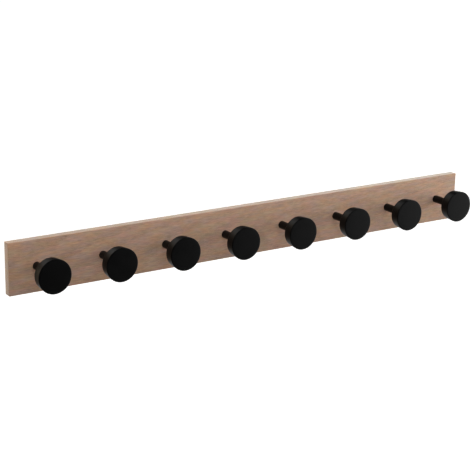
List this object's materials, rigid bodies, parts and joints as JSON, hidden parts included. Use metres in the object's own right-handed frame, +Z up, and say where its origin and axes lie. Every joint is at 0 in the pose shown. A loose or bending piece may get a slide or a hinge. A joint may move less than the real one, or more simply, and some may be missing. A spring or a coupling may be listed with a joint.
{
  "type": "wall hook rack",
  "caption": "Wall-mounted coat rack: a flat oak plank with a row of black disc knobs on round stems, hung on keyhole plates let into its back.",
  "frame": {"origin": "centre of the plank's back face, which lies on the wall", "axes": "+X along the plank, +Y into the wall, +Z up; the knobs point along -Y"},
  "size_m": [0.74, 0.065, 0.07],
  "materials": {
    "oak": "matte",
    "black_coat": "satin",
    "zinc_plating": "satin"
  },
  "bodies": {
    "root": {"board": "oak", "knob_head_1": "black_coat", "knob_stem_1": "black_coat", "knob_washer_1": "zinc_plating", "knob_screw_1": "zinc_plating", "knob_head_2": "black_coat", "knob_stem_2": "black_coat", "knob_washer_2": "zinc_plating", "knob_screw_2": "zinc_plating", "knob_head_3": "black_coat", "knob_stem_3": "black_coat", "knob_washer_3": "zinc_plating", "knob_screw_3": "zinc_plating", "knob_head_4": "black_coat", "knob_stem_4": "black_coat", "knob_washer_4": "zinc_plating", "knob_screw_4": "zinc_plating", "knob_head_5": "black_coat", "knob_stem_5": "black_coat", "knob_washer_5": "zinc_plating", "knob_screw_5": "zinc_plating", "knob_head_6": "black_coat", "knob_stem_6": "black_coat", "knob_washer_6": "zinc_plating", "knob_screw_6": "zinc_plating", "knob_head_7": "black_coat", "knob_stem_7": "black_coat", "knob_washer_7": "zinc_plating", "knob_screw_7": "zinc_plating", "knob_head_8": "black_coat", "knob_stem_8": "black_coat", "knob_washer_8": "zinc_plating", "knob_screw_8": "zinc_plating", "hanger_left": "zinc_plating", "hanger_right": "zinc_plating", "hanger_screw_1": "zinc_plating", "hanger_screw_2": "zinc_plating", "hanger_screw_3": "zinc_plating", "hanger_screw_4": "zinc_plating"}
  },
  "joints": []
}
